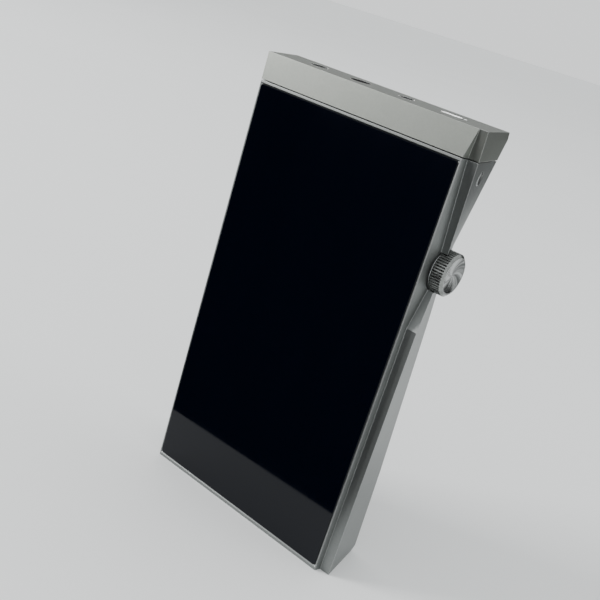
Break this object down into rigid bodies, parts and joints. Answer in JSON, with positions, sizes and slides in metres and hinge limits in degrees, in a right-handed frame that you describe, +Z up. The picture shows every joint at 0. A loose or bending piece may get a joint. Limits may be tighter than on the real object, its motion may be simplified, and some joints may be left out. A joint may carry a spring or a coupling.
{
  "type": "digital audio player",
  "caption": "Portable digital audio player with a full-face touch glass, faceted metal housing, side volume wheel and a slide-off top module that holds the headphone sockets.",
  "frame": {"origin": "middle of the overall width and depth, at the lower edge", "axes": "+Z up along the height, -Y out of the front glass, +X towards the volume wheel"},
  "size_m": [0.0776, 0.0198, 0.137],
  "materials": {
    "body_metal": "bead-blasted, satin",
    "cap_metal": "bead-blasted, satin",
    "polished_metal": "polished",
    "knurled_metal": "turned, straight-knurled",
    "button_metal": "satin with bevelled edge",
    "steel": "plain sheet or turned",
    "screw_steel": "blackened",
    "copper_tint": "plated",
    "display_glass": "black-backed gloss glass",
    "rear_glass": "dark gloss panel",
    "black_plastic": "moulded",
    "module_plastic": "moulded",
    "display_layers": "laminated panel",
    "adhesive": "die-cut foam tape",
    "board_green": "solder mask",
    "board_black": "black solder mask",
    "chip_epoxy": "moulded package",
    "battery_film": "foil pouch",
    "flex_film": "polyimide film",
    "light_guide": "translucent diffuser"
  },
  "bodies": {
    "player": {"housing": "body_metal", "cover_glass": "display_glass", "rear_cover": "rear_glass", "glass_adhesive": "adhesive", "rear_adhesive": "adhesive", "display_panel": "display_layers", "backlight_tray": "steel", "display_flex": "flex_film", "mid_plate": "steel", "main_board": "board_green", "frame_screws": "screw_steel", "processor": "chip_epoxy", "memory_chip": "chip_epoxy", "storage_chip": "chip_epoxy", "shield_can": "steel", "battery_tray": "black_plastic", "battery_cell": "battery_film", "battery_lead": "flex_film", "tray_screws": "screw_steel", "io_board": "board_green", "usb_shell": "steel", "usb_tongue": "black_plastic", "card_socket": "steel", "board_flex": "flex_film", "wheel_bushing": "steel", "wheel_encoder": "black_plastic", "wheel_light_ring": "light_guide", "switch_previous": "steel", "switch_play": "steel", "switch_next": "steel", "key_board": "board_green", "release_spring": "steel", "bay_socket": "black_plastic"},
    "volume_wheel": {"wheel_rim": "knurled_metal", "wheel_dish": "polished_metal", "wheel_shaft": "steel"},
    "previous_key": {"key_previous": "button_metal"},
    "play_key": {"key_play": "button_metal"},
    "next_key": {"key_next": "button_metal"},
    "release": {"release_button": "button_metal", "release_catch": "steel"},
    "module": {"module_cap": "cap_metal", "module_box": "module_plastic", "module_cover": "module_plastic", "module_board": "board_black", "module_screws": "screw_steel", "dac_left": "chip_epoxy", "dac_right": "chip_epoxy", "amplifier_left": "chip_epoxy", "amplifier_right": "chip_epoxy", "module_plug": "black_plastic", "socket_ring_35": "polished_metal", "socket_ring_44": "copper_tint", "socket_ring_25": "polished_metal", "socket_body_35": "black_plastic", "socket_body_44": "black_plastic", "socket_body_25": "black_plastic", "power_switch": "steel", "status_light": "light_guide"},
    "power_key": {"power_button": "polished_metal"}
  },
  "joints": [
    {"name": "wheel_turn", "type": "hinge", "parent": "player", "child": "volume_wheel", "pos_m": [0.03665, 0, 0.0975], "axis": [1, 0, 0], "continuous": true},
    {"name": "module_slide", "type": "slide", "parent": "player", "child": "module", "axis": [0, 0, 1], "range_m": [0, 0.026]},
    {"name": "power_press", "type": "slide", "parent": "module", "child": "power_key", "axis": [0, 0, -1], "range_m": [0, 0.0003], "stiffness_N_per_m": 3000, "springref_m": -0.0003},
    {"name": "previous_press", "type": "slide", "parent": "player", "child": "previous_key", "axis": [1, 0, 0], "range_m": [0, 0.0003], "stiffness_N_per_m": 3000, "springref_m": -0.0003},
    {"name": "play_press", "type": "slide", "parent": "player", "child": "play_key", "axis": [1, 0, 0], "range_m": [0, 0.0003], "stiffness_N_per_m": 3000, "springref_m": -0.0003},
    {"name": "next_press", "type": "slide", "parent": "player", "child": "next_key", "axis": [1, 0, 0], "range_m": [0, 0.0003], "stiffness_N_per_m": 3000, "springref_m": -0.0003},
    {"name": "release_press", "type": "slide", "parent": "player", "child": "release", "axis": [-1, 0, 0], "range_m": [0, 0.0008], "stiffness_N_per_m": 1200, "springref_m": -0.0006}
  ]
}
